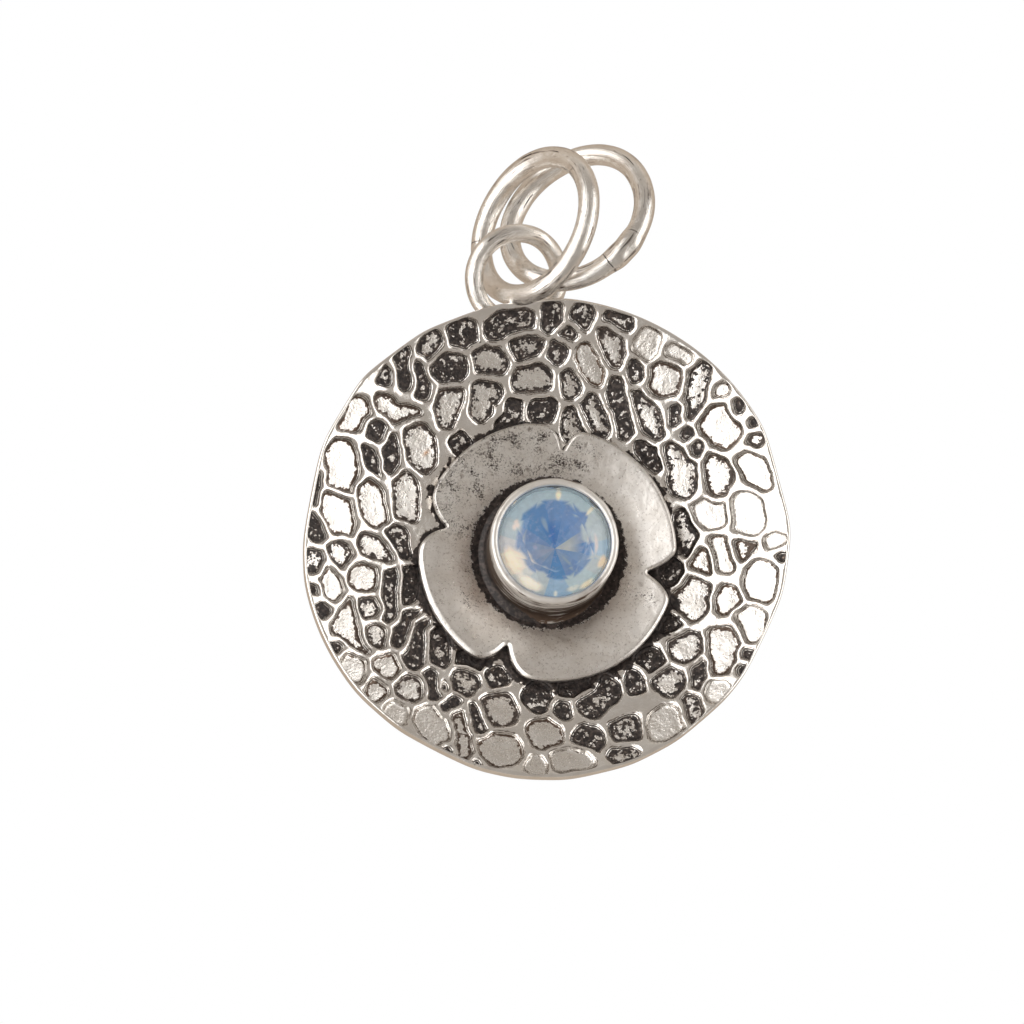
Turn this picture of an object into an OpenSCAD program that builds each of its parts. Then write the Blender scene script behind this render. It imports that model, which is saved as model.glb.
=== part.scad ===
// Round silver pendant, lying on its back: a dished plate with a pebbled relief carries a
// four-petal flower, and a tube bezel in the flower holds a round faceted opal. A small loop is
// soldered behind the plate's upper edge, and two jump rings for the chain hang in the loop.

/* [Plate] */
// Diameter of the plate over its back edge, before the edge was trimmed by hand
plate_d = 25.4; // [25:0.1:25.8]
// Thickness of the plate's sheet
plate_sheet = 0.8; // [0.7:0.05:0.9]
// Radius of the plate's hollow face
dish_r = 24.6; // [24:0.2:26]
// Lean of the plate toward the loop as it lies
plate_lean = 2; // [1:0.5:3]

/* [Pebbled relief] */
// Depth of the hollows between the ridges
pit_depth = 0.3; // [0.15:0.05:0.4]
// Width of the ridges
ridge_w = 0.38; // [0.3:0.02:0.5]
// Plain margin along the plate's edge
rim_margin = 0.2; // [0.15:0.05:0.4]

/* [Flower] */
// Diameter of the flower
flower_d = 13.5; // [12.5:0.1:14]
// Thickness of the flower's sheet
flower_sheet = 0.55; // [0.45:0.05:0.7]
// Radius of the flower's hollow face
flower_dish_r = 17; // [16:0.5:19]
// How far the flower's middle sinks into the solder on the plate
flower_sink = 0.12; // [0.08:0.02:0.2]

/* [Bezel] */
// Outside diameter of the bezel tube
bezel_d = 6.6; // [6.5:0.05:6.8]
// Height of the bezel above the flower's middle
bezel_h = 3.8; // [3.7:0.1:4.2]
// Diameter of the opening that shows the stone
bezel_opening = 5.76; // [5.7:0.02:5.8]
// Bore of the tube under the stone
tube_bore = 5; // [4.6:0.1:5.2]

/* [Opal] */
// Diameter of the stone
stone_d = 5.94; // [5.86:0.02:6]
// Diameter of the stone's flat table
table_d = 3.4; // [3:0.1:3.8]
// Clear space all round the stone
stone_gap = 0.06; // [0.04:0.01:0.08]

/* [Loop and rings] */
// Outside diameter of the soldered loop
loop_d = 5.56; // [5.4:0.02:5.6]
// Wire diameter of the soldered loop
loop_wire = 0.96; // [0.9:0.02:1]
// Outside diameter of the two jump rings
ring_d = 8.7; // [8.6:0.05:8.8]
// Wire diameter of the two jump rings
ring_wire = 1.1; // [1:0.05:1.1]

/* [Hidden] */
$fn = 96;
back_r = dish_r + plate_sheet;
edge_angle = asin(plate_d / 2 / back_r);
front_edge_r = dish_r * sin(edge_angle);
back_edge_z = back_r * (1 - cos(edge_angle));
eps = 0.02;

// Flats where the plate's edge was trimmed by hand: angle from the loop, and how far it is cut in.
// The flats at the right, the bottom and the left set the plate's width and its lowest point.
side_inset = 0.15;
bottom_inset = 0.3;
FLATS = [[76, 0.27], [90, side_inset], [99, 0.3], [116, 0.54], [128, 0.47], [139, 0.53], [151, 0.46],
         [165, 0.41], [180, bottom_inset], [192, 0.25], [206, 0.32], [220, 0.14], [270, side_inset],
         [281, 0.36], [300, 0.21], [322, 0.2], [338, 0.23], [352, 0.15]];

// The relief was charted by eye from a view a little off the plate's axis. Angles run clockwise
// from the loop, in degrees, and radii are in mm. A round pebble has one place, and a long one
// has the places of its two ends.
view_side = 0.094;
view_tilt = 0.203;
OUTER_PEBBLES = [
    [0.5, 11.7], [8.8, 11.9], [14.8, 12, 19.6, 12.1], [27, 11.6], [32.5, 11.7],
    [41.5, 11.9, 47.4, 10.3], [48.5, 12], [54.3, 12.1], [59, 12.2], [63.3, 12],
    [68.5, 11.3, 72.5, 11.3], [79, 12], [89, 11.7], [97.8, 11.1, 102.5, 11.1], [111.8, 11.2],
    [119.5, 11.8], [123.8, 11.9], [131.5, 11.6], [137.5, 11.8, 140.2, 11.1], [145, 11.1, 149.3, 11.1],
    [161, 11.6], [171.5, 11.3, 176, 11.3], [183, 11.7], [190.5, 11.1, 195.2, 11.2],
    [201.2, 11.8, 206.2, 10.1], [209.5, 11.2, 213.5, 11.2], [220, 11.7], [228.3, 11.8],
    [235.8, 11.8], [243.5, 11.2, 249.5, 11.3], [252.5, 12], [258.8, 11.3], [265, 12],
    [273.5, 12], [281.5, 12, 285, 12], [289, 11.2, 294, 11.2], [301, 11.9, 306, 11.9],
    [314.5, 12], [322, 12, 319.4, 11], [329.3, 11.9], [338.5, 11.7], [347, 11.6, 354, 11.7]];
MIDDLE_PEBBLES = [
    [6, 11], [3.5, 10.1], [14.5, 11.4, 21, 10.1], [11.2, 10.3, 16.8, 9], [27, 10.2], [35.5, 10.6],
    [54, 10.9, 58.5, 10.8], [79, 10.5, 84.5, 10.5], [92.3, 10.4], [118.8, 10.4, 124.8, 10.8],
    [130.5, 10.4], [156.8, 10.6], [168, 10.4], [180, 9.9], [201, 9.8], [210.5, 9.8],
    [222, 10.2], [231.5, 10.3], [240.3, 9.9], [249.3, 9.7], [258.5, 9.5], [266.5, 10.6],
    [277.5, 10.8], [297, 10.6, 294, 9.5], [303.3, 10.4], [311.5, 11.4, 315.5, 9.6],
    [323.5, 11.2, 321.5, 10], [331.3, 10.6], [342.5, 10.1], [353.5, 10.3]];
INNER_PEBBLES = [
    [9, 8.3], [24, 9.1, 34, 7.4], [31, 9.1, 44.5, 7.9], [45, 9.4], [52.5, 9.2],
    [64, 9.2, 72, 9.7], [54.5, 7.8, 66, 8.2], [79.5, 8.5], [96, 9.4], [106.5, 9.7], [94, 8],
    [109.5, 8.1], [126.5, 8.8], [139, 9.6], [149, 9.8], [146.8, 8.5], [161.5, 8.6],
    [174.2, 8.6], [182.5, 8.1], [195.5, 8.9], [210.5, 8.3], [217.5, 9.4], [228, 9.1, 237, 7.6],
    [236.5, 9, 242, 7.7], [245.5, 9, 257, 8], [267, 9], [283, 9.2], [303.5, 9.4, 297, 8.9],
    [308, 8.2], [325, 8.7], [337, 8.1], [354.5, 8.5]];
FLOWER_SIDE_PEBBLES = [
    [2, 7.1], [14, 6.5], [22, 7.3], [44, 7, 54, 7.1], [85, 7.2], [121.5, 7.7], [137.5, 7.9],
    [164, 7.7, 171, 7.7], [216, 7.3], [223, 8.2, 232, 7.3], [248, 7.8, 258, 7.1], [270, 7.6],
    [285, 7.7, 292.5, 7.8], [322, 6.9], [342.5, 7.2], [356, 7.1], [103, 6.7], [199.5, 7.2]];
PEBBLES = concat(OUTER_PEBBLES, MIDDLE_PEBBLES, INNER_PEBBLES, FLOWER_SIDE_PEBBLES);
pebble_reach = 1.25;
seed_step = 0.9;

// Middles of the flower and of the bezel, from the plate's axis
flower_at = [0.16, -0.5];
bezel_at = [0.26, -0.28];
// Notches between the petals: angle from the loop, radius of the inner end, width at the edge
NOTCHES = [[8, 5.45, 0.9], [97, 5.3, 1.7], [202, 5.5, 1.1], [286, 5.4, 1.2]];
notch_flare = 1.7;
flower_z = plate_sheet - flower_sink;
floor_z = flower_z + flower_sheet;
flower_angle = asin(flower_d / 2 / (flower_dish_r + flower_sheet));

lip_r = (bezel_d - bezel_opening) / 4;
lip_z = floor_z + bezel_h - lip_r;
girdle_top = lip_z - lip_r - 0.11;
girdle_z = girdle_top - 0.18;
stone_r = stone_d / 2;
seat_r = stone_r + stone_gap;
// The stone's cut: facets of a kind, their slope, and the turn of the first one
facets = 8;
crown_slope = 34;
break_slope = 41;
star_slope = 21;
pavilion_slope = 41;
lower_slope = 42.6;
table_z = girdle_top + (stone_d - table_d) / 2 * tan(crown_slope);

// Rings: place across and up from where the plate touches the ground, lean from lying flat, and
// the direction in which the high side points
loop_place = [-1.49, 13.13, 2.78];
loop_lean = 20;
loop_toward = 130;
front_place = [-0.6, 15.72];
front_lean = 51.1;
front_toward = -15.7;
rear_place = [1.63, 16.22];
rear_lean = 38.5;
rear_toward = -38.7;
nub_d = 1.1;
// Drops of solder between the loop and the back of the plate
NUBS = [[0.12, 11.68, 2.42], [-1.35, 11.2, 2.4]];
ring_r = (ring_d - ring_wire) / 2;
function ring_reach(lean, toward) = ring_r * sqrt(1 - pow(sin(lean) * sin(toward), 2)) + ring_wire / 2;
low_y = -back_r * sin(asin((plate_d / 2 - bottom_inset) / back_r) + plate_lean);
high_y = max(front_place.y + ring_reach(front_lean, front_toward),
             rear_place.y + ring_reach(rear_lean, rear_toward));
middle_y = (low_y + high_y) / 2;

function dish_z(r) = plate_sheet + dish_r - sqrt(dish_r * dish_r - r * r);
function placed(angle, r) =
    let (h = back_edge_z - dish_z(r)) [r * sin(angle) + view_side * h, r * cos(angle) + view_tilt * h];
// Each seed is a place and the pebble that it belongs to. A long pebble has a row of seeds.
function row_of(a, b, i) =
    let (n = ceil(norm(b - a) / seed_step)) [for (k = [0 : n]) [a + (b - a) * k / n, i]];
SEEDS = [for (i = [0 : len(PEBBLES) - 1]) let (p = PEBBLES[i], start = placed(p[0], p[1]))
    each len(p) == 2 ? [[start, i]] : row_of(start, placed(p[2], p[3]), i)];

// The part of a polygon that lies behind a line, given by a point and an outward normal
function clip(shape, point, out) =
    let (n = len(shape), d = [for (q = shape) (q - point) * out])
    n == 0 ? [] : [for (i = [0 : n - 1]) let (j = (i + 1) % n) each concat(
        d[i] <= 0 ? [shape[i]] : [],
        (d[i] < 0) != (d[j] < 0) ? [shape[i] + (shape[j] - shape[i]) * d[i] / (d[i] - d[j])] : [])];
// A pebble's outline: its box, clipped half a ridge short of the line to each neighbour
function outline(i, j = 0) =
    let (here = SEEDS[i][0])
    j == len(SEEDS) ? [for (k = [0 : 7]) here + pebble_reach * [cos(45 * k + 22.5), sin(45 * k + 22.5)]] :
    let (rest = outline(i, j + 1), away = SEEDS[j][0] - here, gap = norm(away))
    j == i || gap > 2 * pebble_reach + ridge_w ? rest :
    clip(rest, here + away / 2 - (SEEDS[j][1] == SEEDS[i][1] ? -eps : ridge_w / 2) * away / gap, away / gap);

module at_plate() {
    translate([0, -middle_y, back_r]) rotate([-plate_lean, 0, 0]) translate([0, 0, -back_r]) children();
}

module pits() {
    intersection() {
        translate([0, 0, back_r]) sphere(r = dish_r + pit_depth, $fn = 180);
        cylinder(r = front_edge_r - rim_margin, h = back_r / 2);
        union() {
            for (i = [0 : len(SEEDS) - 1]) linear_extrude(height = back_r / 2) polygon(outline(i));
        }
    }
}

// A round sheet dished about one middle, with its edge square to the sheet
module dished_sheet(r, sheet, half_angle) {
    translate([0, 0, r + sheet]) intersection() {
        difference() {
            sphere(r = r + sheet, $fn = 180);
            sphere(r = r, $fn = 180);
        }
        translate([0, 0, -r - 2 * sheet]) cylinder(h = r + 2 * sheet, r1 = (r + 2 * sheet) * tan(half_angle), r2 = 0);
    }
}

// A flat cut square to the sheet takes the edge in by a small inset
module edge_flat(angle, inset) {
    cut_angle = asin((plate_d / 2 - inset) / back_r);
    translate([0, 0, back_r]) rotate([0, 0, 90 - angle]) rotate([0, 90 - cut_angle, 0])
        translate([0, -plate_d / 2, 0]) cube([2 * back_r, plate_d, 2]);
}

module plate() {
    color([0.78, 0.77, 0.74]) difference() {
        dished_sheet(dish_r, plate_sheet, edge_angle);
        for (f = FLATS) edge_flat(f[0], f[1]);
        difference() {
            pits();
            for (f = FLATS) edge_flat(f[0], f[1] + rim_margin);
        }
    }
}

// A notch between two petals narrows inward on curved sides
module notch(angle, inner_r, width) {
    reach = flower_d / 2 + 0.4;
    steps = 6;
    side = [for (k = [0 : steps]) let (u = k / steps)
        [inner_r + u * (reach - inner_r), width / 2 * pow(u, notch_flare) + eps]];
    rotate([0, 0, 90 - angle]) linear_extrude(height = 2 * flower_d)
        polygon(concat(side, [for (k = [steps : -1 : 0]) [side[k].x, -side[k].y]]));
}

module flower() {
    translate([flower_at.x, flower_at.y, flower_z]) color([0.7, 0.68, 0.64]) difference() {
        dished_sheet(flower_dish_r, flower_sheet, flower_angle);
        for (n = NOTCHES) notch(n[0], n[1], n[2]);
    }
}

module bezel() {
    root_z = floor_z - 0.35;
    translate([bezel_at.x, bezel_at.y, 0]) color([0.82, 0.8, 0.76]) rotate_extrude() {
        polygon([[tube_bore / 2, root_z], [bezel_d / 2, root_z], [bezel_d / 2, lip_z], [seat_r, lip_z],
                 [seat_r, girdle_z - stone_gap],
                 [tube_bore / 2, girdle_z - stone_gap - (seat_r - tube_bore / 2) * tan(pavilion_slope)]]);
        translate([bezel_d / 2 - lip_r, lip_z]) circle(r = lip_r, $fn = 32);
    }
}

// The far side of a facet's plane, which meets the stone at a distance from its axis
module facet(turn, slope, r, z) {
    rotate([0, 0, turn]) translate([r, 0, z]) rotate([0, slope, 0])
        translate([-stone_d, -stone_d, 0]) cube(2 * stone_d);
}

module opal() {
    step = 360 / facets;
    at_plate() translate([bezel_at.x, bezel_at.y, 0]) color([0.72, 0.82, 0.92]) difference() {
        translate([0, 0, girdle_z - stone_r]) cylinder(r = stone_r, h = table_z - girdle_z + stone_r);
        for (k = [0 : facets - 1]) {
            facet(step * k, crown_slope, stone_r, girdle_top);
            facet(step * (k + 0.5), star_slope, table_d / 2 * 0.94, table_z);
            facet(step * k, 180 - pavilion_slope, stone_r, girdle_z);
            for (s = [0.25, 0.75]) {
                facet(step * (k + s), break_slope, stone_r, girdle_top);
                facet(step * (k + s), 180 - lower_slope, stone_r, girdle_z);
            }
        }
    }
}

// A round wire ring that rises from lying flat toward one side
module wire_ring(outside_d, wire_d, place, lean, toward) {
    translate(place) rotate([0, 0, toward]) rotate([0, -lean, 0])
        rotate_extrude() translate([(outside_d - wire_d) / 2, 0]) circle(d = wire_d, $fn = 24);
}

module loop() {
    translate([0, -middle_y, 0]) color([0.82, 0.8, 0.77]) {
        wire_ring(loop_d, loop_wire, loop_place, loop_lean, loop_toward);
        for (n = NUBS) translate(n) sphere(d = nub_d, $fn = 32);
    }
}

// A jump ring whose low side touches the ground
module jump_ring(place, lean, toward) {
    height = ring_r * sin(lean) + ring_wire / 2;
    translate([0, -middle_y, 0]) wire_ring(ring_d, ring_wire, [place.x, place.y, height], lean, toward);
}

// The soldered silver: plate, flower, bezel and loop are one piece
module silverwork() {
    at_plate() {
        plate();
        flower();
        bezel();
    }
    loop();
}

module ring_front() {
    color([0.84, 0.82, 0.79]) jump_ring(front_place, front_lean, front_toward);
}

module ring_rear() {
    color([0.8, 0.78, 0.75]) jump_ring(rear_place, rear_lean, rear_toward);
}

silverwork();
opal();
ring_front();
ring_rear();
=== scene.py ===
"""A silver pendant lying on its back: a dished plate with a pebbled relief and dark patina, a
four-petal flower, and a tube bezel with a round faceted opal. A soldered loop and two jump rings
lie at its upper edge."""
import math

import bpy
import numpy as np
from mathutils import Matrix, Vector, noise


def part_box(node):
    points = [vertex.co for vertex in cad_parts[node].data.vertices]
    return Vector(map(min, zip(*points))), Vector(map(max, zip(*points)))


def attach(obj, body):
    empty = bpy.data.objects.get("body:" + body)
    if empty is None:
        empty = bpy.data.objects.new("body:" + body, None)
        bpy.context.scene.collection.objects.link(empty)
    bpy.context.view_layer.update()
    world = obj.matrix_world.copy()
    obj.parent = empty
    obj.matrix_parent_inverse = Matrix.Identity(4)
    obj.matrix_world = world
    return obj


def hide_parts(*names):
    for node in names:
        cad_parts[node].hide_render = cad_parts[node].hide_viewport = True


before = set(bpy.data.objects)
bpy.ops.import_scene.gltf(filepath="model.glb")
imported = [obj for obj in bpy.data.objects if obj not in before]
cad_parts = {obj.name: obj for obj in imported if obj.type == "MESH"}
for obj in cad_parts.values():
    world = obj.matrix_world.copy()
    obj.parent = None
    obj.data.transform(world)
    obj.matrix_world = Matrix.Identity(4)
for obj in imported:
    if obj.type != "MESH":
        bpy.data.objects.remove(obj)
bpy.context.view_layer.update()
# Without a seed of its own, noise_vector drifts another way at each run
noise.seed_set(1)

# Pieces are modelled in mm, in the plate's own frame: its axis is Z, and its back touches zero.
# Angles round the plate run clockwise from the loop, as in the part's source.
MM = 0.001
PLATE_R = 12.7
SHEET = 0.8
DISH_R = 24.6
BACK_R = DISH_R + SHEET
EDGE_ANGLE = math.asin(PLATE_R / BACK_R)
PLATE_LEAN = math.radians(2)
BOTTOM_INSET = 0.3
# Where the plate's edge was trimmed: the angle, and how far in the cut is
FLATS = ((76, 0.27), (90, 0.15), (99, 0.3), (116, 0.54), (128, 0.47), (139, 0.53), (151, 0.46),
         (165, 0.41), (180, BOTTOM_INSET), (192, 0.25), (206, 0.32), (220, 0.14), (270, 0.15),
         (281, 0.36), (300, 0.21), (322, 0.2), (338, 0.23), (352, 0.15))
HALF_RIDGE = 0.115
RUST_AT = Vector((-6.07, 4.87))
FLOWER_R = 6.6
FLOWER_STEPS = 900
FLOWER_SHEET = 0.55
FLOWER_RIM = 2.52
FLOWER_FLARE = math.tan(math.radians(14.5))
FLOWER_LEAN = math.tan(math.radians(2.2))
FLOWER_FOOT = 0.68
FLOWER_AT = Vector((0.16, -0.4))
# The flower's radius by angle
PETALS = ((8, 6.68), (25, 6.72), (45, 6.74), (70, 6.68), (95, 6.65), (140, 6.8), (170, 6.74),
          (190, 6.66), (240, 6.66), (285, 6.68), (325, 6.88), (350, 6.92))
# Its notches: angle, radius of the tip, and for the side before it and the side after it, how
# many degrees it takes to open and how fully its corner is rounded
NOTCHES = ((8.5, 5.45, 15, 3.8, 12, 3.6), (99.6, 5.15, 12, 1.5, 12, 1.5),
           (203.8, 5.1, 17, 2.0, 18, 3.6), (285.1, 5.3, 18, 2.4, 17, 2.2))
BEZEL_AT = Vector((0.26, -0.28))
BEZEL_R = 3.3
BEZEL_OPENING_R = 2.88
BEZEL_FOOT = FLOWER_RIM - (FLOWER_R - BEZEL_R) * FLOWER_FLARE
BEZEL_H = 3.8
BEZEL_TOP = FLOWER_FOOT + FLOWER_SHEET + BEZEL_H
LOOP_AT = Vector((-1.49, 13.13, 2.78))
LOOP_R = 2.3
LOOP_WIRE_R = 0.48
LOOP_LEAN = 20
LOOP_TOWARD = 130
DROPS = ((0.12, 11.68, 2.42), (-1.35, 11.2, 2.4))
DROP_R = 0.55
RING_R = 3.8
RING_WIRE_R = 0.55

# The plate leans on the sphere of its back, and touches the floor at this place.
bottom_angle = math.asin((PLATE_R - BOTTOM_INSET) / BACK_R)
touch_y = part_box("silverwork")[0].y / MM + BACK_R * math.sin(bottom_angle + PLATE_LEAN)
TO_FLOOR = Matrix.Translation((0, touch_y, 0))
PLATE_PLACE = (TO_FLOOR @ Matrix.Translation((0, 0, BACK_R)) @ Matrix.Rotation(-PLATE_LEAN, 4, "X")
               @ Matrix.Translation((0, 0, -BACK_R)))
BEZEL_PLACE = PLATE_PLACE @ Matrix.Translation(BEZEL_AT.to_3d())


def stage_camera():
    """A long lens, as the photograph has, looks down a little from the lower left."""
    back = Vector((-0.094, -0.169, 0.981)).normalized()
    right = Vector((0, 1, 0)).cross(back).normalized()
    looks_at = TO_FLOOR @ Vector((-1.786, 0.744, 3.393)) * MM
    camera = bpy.data.objects.new("camera", bpy.data.cameras.new("camera"))
    bpy.context.collection.objects.link(camera)
    camera.data.lens = 300
    camera.data.sensor_width = 36
    frame_width = 52.51 * MM
    distance = frame_width * camera.data.lens / camera.data.sensor_width
    camera.data.clip_start = 0.01
    axes = Matrix((right, back.cross(right), back)).transposed().to_4x4()
    camera.matrix_world = Matrix.Translation(looks_at + back * distance) @ axes
    bpy.context.scene.camera = camera


def feed(node, inputs):
    """Gives each named input of a node a value or another node's output."""
    for name, value in dict(inputs).items():
        if isinstance(value, bpy.types.NodeSocket):
            node.id_data.links.new(value, node.inputs[name])
        else:
            node.inputs[name].default_value = value


def put(tree, kind, inputs=(), **settings):
    """Adds a shader node, with its settings and what each of its inputs gets."""
    made = tree.nodes.new("ShaderNode" + kind)
    for name, value in settings.items():
        setattr(made, name, value)
    feed(made, inputs)
    return made


def sums(operation, *values):
    """A Math node's result, in the tree of the first output among its values."""
    tree = next(value.id_data for value in values if isinstance(value, bpy.types.NodeSocket))
    return put(tree, "Math", dict(enumerate(values)), operation=operation).outputs[0]


def times(first, second):
    return sums("MULTIPLY", first, second)


def plus(value, extra, amount):
    """A value with so much of another added."""
    return sums("MULTIPLY_ADD", extra, amount, value)


def most(first, *others):
    """The greatest of several values."""
    for value in others:
        first = sums("MAXIMUM", first, value)
    return first


def ramp(value, start, end, low=0.0, high=1.0):
    """Smooth step of a value from low at start to high at end."""
    made = put(value.id_data, "MapRange", {"Value": value, "From Min": start, "From Max": end,
                                           "To Min": low, "To Max": high},
               interpolation_type="SMOOTHSTEP")
    return made.outputs["Result"]


def blend(factor, first, second):
    """Mixes two colours."""
    made = put(factor.id_data, "Mix", {0: factor, 6: first, 7: second}, data_type="RGBA")
    return made.outputs[2]


def colour(red, green, blue):
    """A colour in the linear light that shaders take."""
    return (red, green, blue, 1.0)


def tint(red, green, blue):
    """A colour matched on the 0 to 255 scale, as linear light."""
    return tuple(((c / 255 + 0.055) / 1.055) ** 2.4 for c in (red, green, blue)) + (1.0,)


def grain(spot, scale, detail=3.0, rough=0.55):
    """Noise about zero, from places in metres."""
    made = put(spot.id_data, "TexNoise", {"Vector": spot, "Scale": scale, "Detail": detail,
                                          "Roughness": rough})
    return sums("SUBTRACT", made.outputs["Fac"], 0.5)


def stretched(spot, scale):
    """Places scaled along each axis."""
    made = put(spot.id_data, "VectorMath", {0: spot, 1: scale}, operation="MULTIPLY")
    return made.outputs[0]


def studio_light():
    """Grey overhead, a bright box at the left and one at the right, and a warm low horizon."""
    world = bpy.data.worlds.new("studio")
    bpy.context.scene.world = world
    world.use_nodes = True
    tree = world.node_tree
    tree.nodes.clear()
    way = put(tree, "SeparateXYZ", {"Vector": put(tree, "TexCoord").outputs["Generated"]}).outputs
    high = ramp(way["Z"], 0.02, 0.18)
    sky = blend(high, colour(0.50, 0.42, 0.35), colour(0.385, 0.355, 0.325))
    rear = ramp(way["Y"], 0.8, 0.95)
    sky = blend(rear, sky, colour(0.46, 0.425, 0.385))
    side_window = times(ramp(way["Y"], 0.8, 0.6), ramp(way["Z"], 0.12, 0.2))
    right = times(side_window, ramp(way["X"], 0.64, 0.7))
    right = times(right, ramp(way["Y"], -0.55, -0.35))
    left = times(side_window, ramp(way["X"], -0.4, -0.48))
    left = times(left, ramp(way["Y"], -0.75, -0.6))
    lit = blend(right, sky, colour(2.0, 1.96, 1.91))
    lit = blend(left, lit, colour(2.05, 2.01, 1.97))
    seen = blend(put(tree, "LightPath").outputs["Is Camera Ray"], lit, colour(1, 1, 1))
    shown = put(tree, "Background", {"Color": seen, "Strength": 1.0})
    put(tree, "OutputWorld", {"Surface": shown.outputs[0]})
    bpy.context.scene.view_settings.view_transform = "Standard"


def floor():
    """Plain pale floor. It is nearly white to the eye and tan in the silver's reflections."""
    bpy.ops.mesh.primitive_plane_add(size=1.2, location=(0, 0, 0))
    ground = bpy.context.object
    ground.name = "floor"
    paint = bpy.data.materials.new("floor")
    paint.use_nodes = True
    tree = paint.node_tree
    tree.nodes.clear()
    ray = put(tree, "LightPath").outputs
    seen = put(tree, "Emission", {"Color": colour(1, 1, 1), "Strength": 1.0})
    away = put(tree, "VectorMath", {0: put(tree, "TexCoord").outputs["Object"]}, operation="LENGTH")
    # Painted shade: in reflections the floor is darker near the middle, round the pendant.
    far = ramp(away.outputs["Value"], 0.016, 0.09)
    shade = blend(far, colour(0.5, 0.42, 0.345), colour(0.74, 0.67, 0.6))
    tan = put(tree, "Emission", {"Color": shade, "Strength": 1.0})
    shown = put(tree, "MixShader", {0: ray["Is Camera Ray"], 1: tan.outputs[0], 2: seen.outputs[0]})
    put(tree, "OutputMaterial", {"Surface": shown.outputs[0]})
    ground.data.materials.append(paint)


def deselect():
    bpy.ops.object.select_all(action="DESELECT")


def named(name):
    """The piece that was just made, under its own name."""
    piece = bpy.context.object
    piece.name = piece.data.name = name
    return piece


def lathe(name, profile, steps):
    """A round piece, spun about Z from a profile of (radius, height) points."""
    deselect()
    bpy.ops.mesh.primitive_plane_add(size=0.1, location=(0, 0, 0))
    piece = named(name)
    bpy.ops.object.mode_set(mode="EDIT")
    bpy.ops.mesh.select_all(action="SELECT")
    bpy.ops.mesh.merge(type="CENTER")
    points = [Vector((r, 0, z)) for r, z in profile]
    bpy.ops.transform.translate(value=points[0])
    for here, there in zip(points, points[1:]):
        bpy.ops.mesh.extrude_vertices_move(TRANSFORM_OT_translate={"value": there - here})
    bpy.ops.mesh.select_all(action="SELECT")
    bpy.ops.mesh.spin(steps=steps, angle=2 * math.pi, center=(0, 0, 0), axis=(0, 0, 1))
    bpy.ops.mesh.select_all(action="SELECT")
    bpy.ops.mesh.remove_doubles(threshold=0.0005)
    bpy.ops.mesh.normals_make_consistent(inside=False)
    bpy.ops.object.mode_set(mode="OBJECT")
    bpy.ops.object.shade_smooth()
    return piece


def places(piece):
    """A piece's points as an array."""
    spots = np.empty(len(piece.data.vertices) * 3)
    piece.data.vertices.foreach_get("co", spots)
    return spots.reshape(-1, 3)


def set_places(piece, spots):
    piece.data.vertices.foreach_set("co", spots.ravel())
    piece.data.update()


def ring_grid(piece, profile, steps):
    """Which point of a spun piece lies on each ring of its profile, and at each step round it."""
    spots = places(piece)
    radius = np.hypot(spots[:, 0], spots[:, 1])
    rings = np.array(profile)
    ring = np.argmin((radius[:, None] - rings[:, 0]) ** 2 + (spots[:, 2:] - rings[:, 1]) ** 2, axis=1)
    step = np.rint(np.arctan2(spots[:, 0], spots[:, 1]) / (2 * math.pi) * steps).astype(int) % steps
    grid = np.full((len(rings), steps), -1)
    grid[ring, step] = np.arange(len(spots))
    for k in np.flatnonzero(rings[:, 0] < 0.001):
        grid[k] = grid[k].max()
    return grid


def add_values(piece, name, values):
    """Keeps a number for each point, which a material reads by name."""
    made = piece.data.attributes.new(name, "FLOAT", "POINT")
    made.data.foreach_set("value", np.asarray(values, dtype=float).ravel())


def settle(piece, place, material, slot, *nodes):
    """Places a finished piece, in metres, with its material, hangs it from the root, and hides the
    nodes that it stands for.
    """
    piece.data.transform(Matrix.Scale(MM, 4) @ place)
    piece.data.update()
    piece.data.materials.clear()
    piece.data.materials.append(material)
    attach(piece, "root")
    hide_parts(*nodes)


def wander(spot, size, reach):
    """A smooth, seeded drift of a place, as a hand-made shape has."""
    return noise.noise_vector(spot / size) * reach


def share(value, start, width):
    """How far a value is past a start, as 0 to 1 over a width."""
    return min(1, max(0, (value - start) / width))


def edge_limit(angle):
    """The sheet's half-angle at an angle round the plate, in from the round where it was cut."""
    limit = EDGE_ANGLE
    for flat, inset in FLATS:
        off = angle - math.radians(flat)
        if math.cos(off) > 0.5:
            cut = math.asin((PLATE_R - inset) / BACK_R)
            limit = min(limit, math.atan(math.tan(cut) / math.cos(off)))
    return limit


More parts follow.
